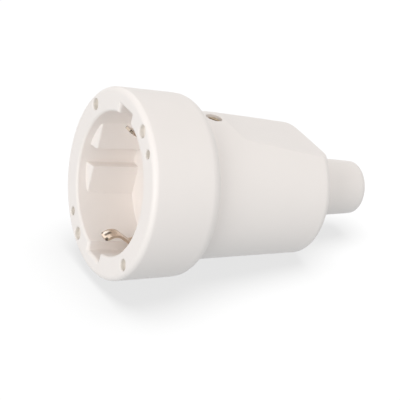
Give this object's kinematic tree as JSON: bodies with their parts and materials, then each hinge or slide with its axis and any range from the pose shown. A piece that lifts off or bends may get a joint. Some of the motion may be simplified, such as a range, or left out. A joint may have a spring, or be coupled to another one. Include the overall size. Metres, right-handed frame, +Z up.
{
  "type": "inline socket connector",
  "caption": "Round inline mains socket with a plug recess, side earth clips, a tapered grip with a flat top panel and a short cord spout.",
  "frame": {"origin": "point on the table under the middle of the part's box", "axes": "+X from the socket face towards the cord spout, +Y along the line of the pins, +Z up; the socket's own axis is tilted by 11.4 degrees, with its spout end down, as it lies"},
  "size_m": [0.0834, 0.053, 0.0544],
  "materials": {
    "white_plastic": "satin moulded",
    "carrier_plastic": "matt",
    "brass": "turned",
    "plated_brass": "nickel plated",
    "steel": "zinc plated"
  },
  "bodies": {
    "root": {"socket_head": "white_plastic", "rear_grip": "white_plastic", "upper_housing_screw": "brass", "lower_housing_screw": "brass", "upper_housing_nut": "steel", "lower_housing_nut": "steel", "earth_strap": "plated_brass", "earth_terminal": "brass", "earth_terminal_screw": "steel", "left_contact": "brass", "right_contact": "brass", "left_contact_spring": "steel", "right_contact_spring": "steel", "left_terminal_screw": "steel", "right_terminal_screw": "steel", "contact_carrier": "carrier_plastic", "left_carrier_screw": "steel", "right_carrier_screw": "steel", "cord_clamp_bar": "carrier_plastic", "left_cord_clamp_screw": "steel", "right_cord_clamp_screw": "steel"}
  },
  "joints": []
}
